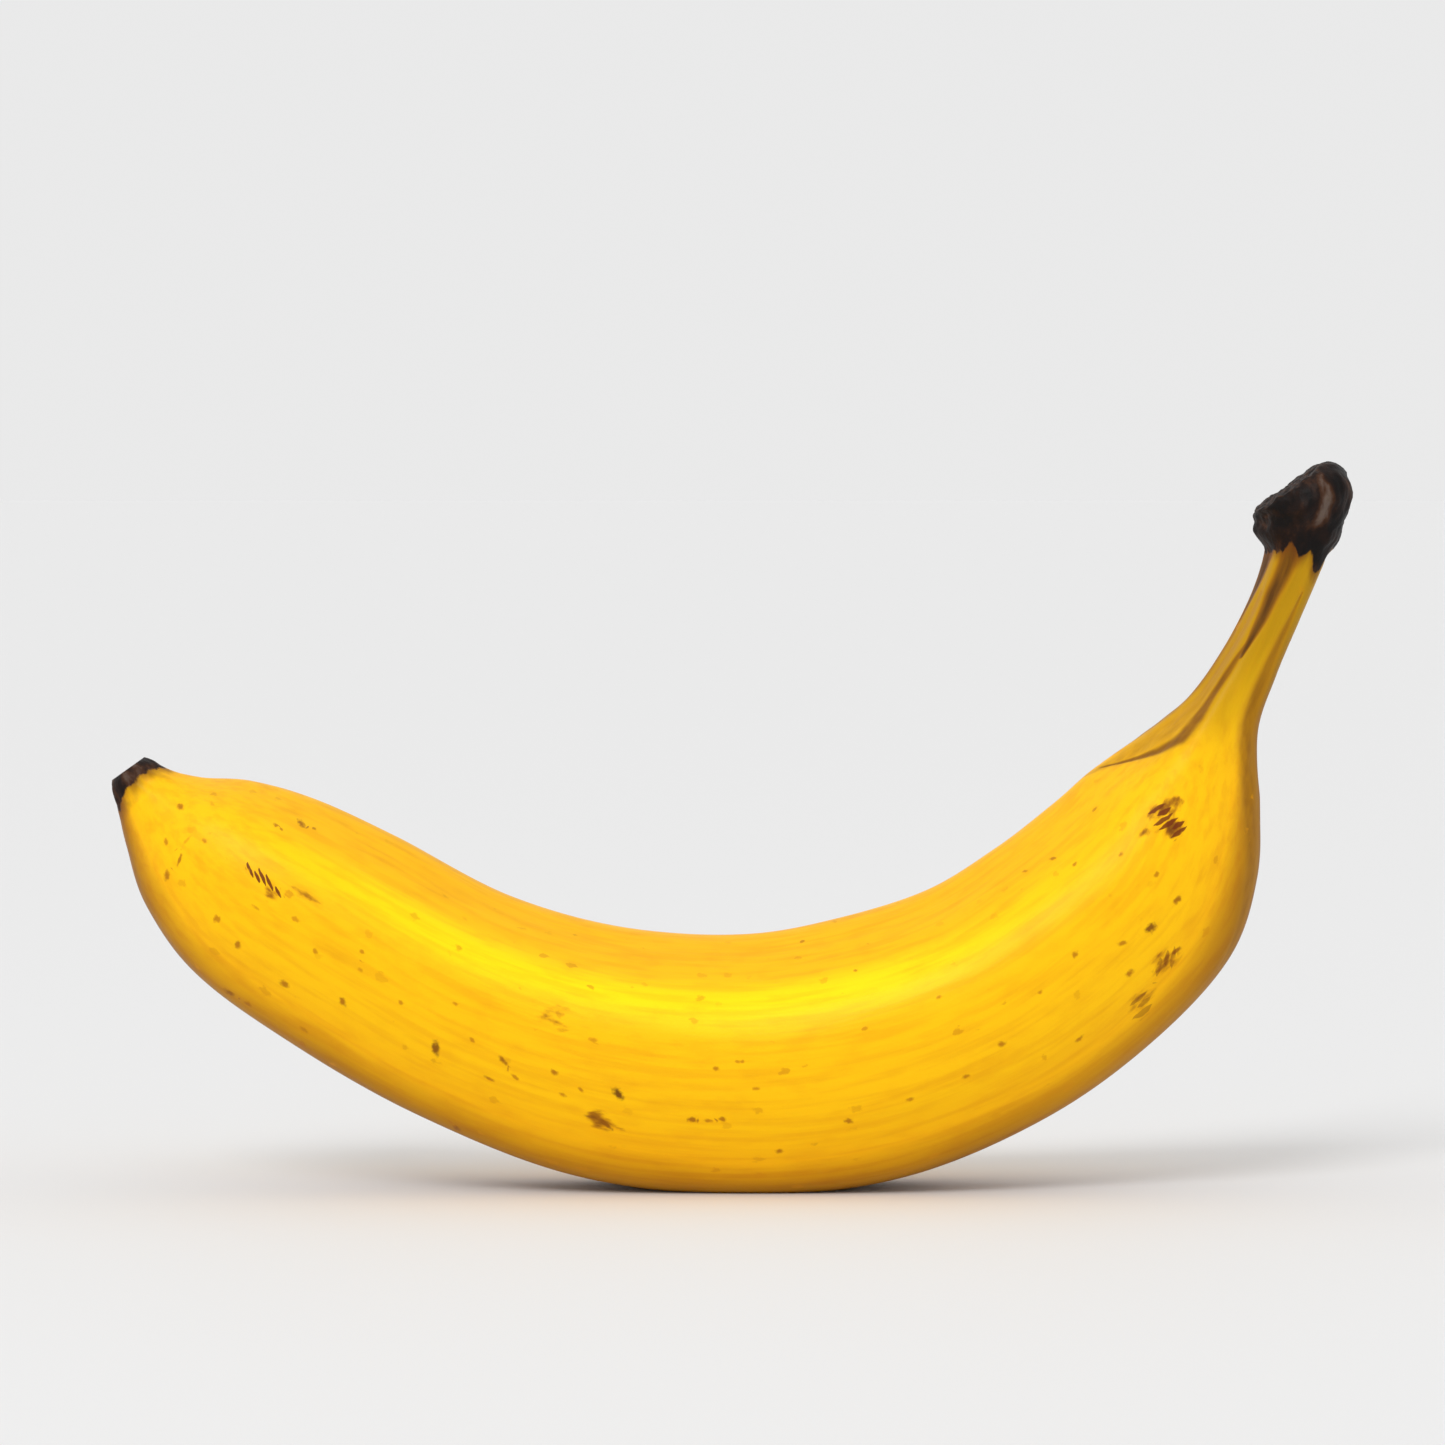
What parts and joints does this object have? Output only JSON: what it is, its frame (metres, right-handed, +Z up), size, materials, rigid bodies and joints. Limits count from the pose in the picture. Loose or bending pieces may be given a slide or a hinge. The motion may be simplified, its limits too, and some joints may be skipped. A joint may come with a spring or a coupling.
{
  "type": "banana",
  "caption": "Whole ripe banana: curved five-sided fruit with a dark blossom end, a ridged stalk and a dark cut crown, resting on the outside of its curve.",
  "frame": {"origin": "bottom centre of the bounding box, on the surface that the fruit rests on", "axes": "+X from the blossom end to the stalk, +Y across the fruit, +Z up, with the curve in the XZ plane"},
  "size_m": [0.174, 0.0358, 0.1021],
  "materials": {
    "peel": "waxy ripe peel, satin sheen, golden yellow with brown freckles and bruises, near black at the crown and blossom end"
  },
  "bodies": {
    "root": {"banana": "peel"}
  },
  "joints": []
}
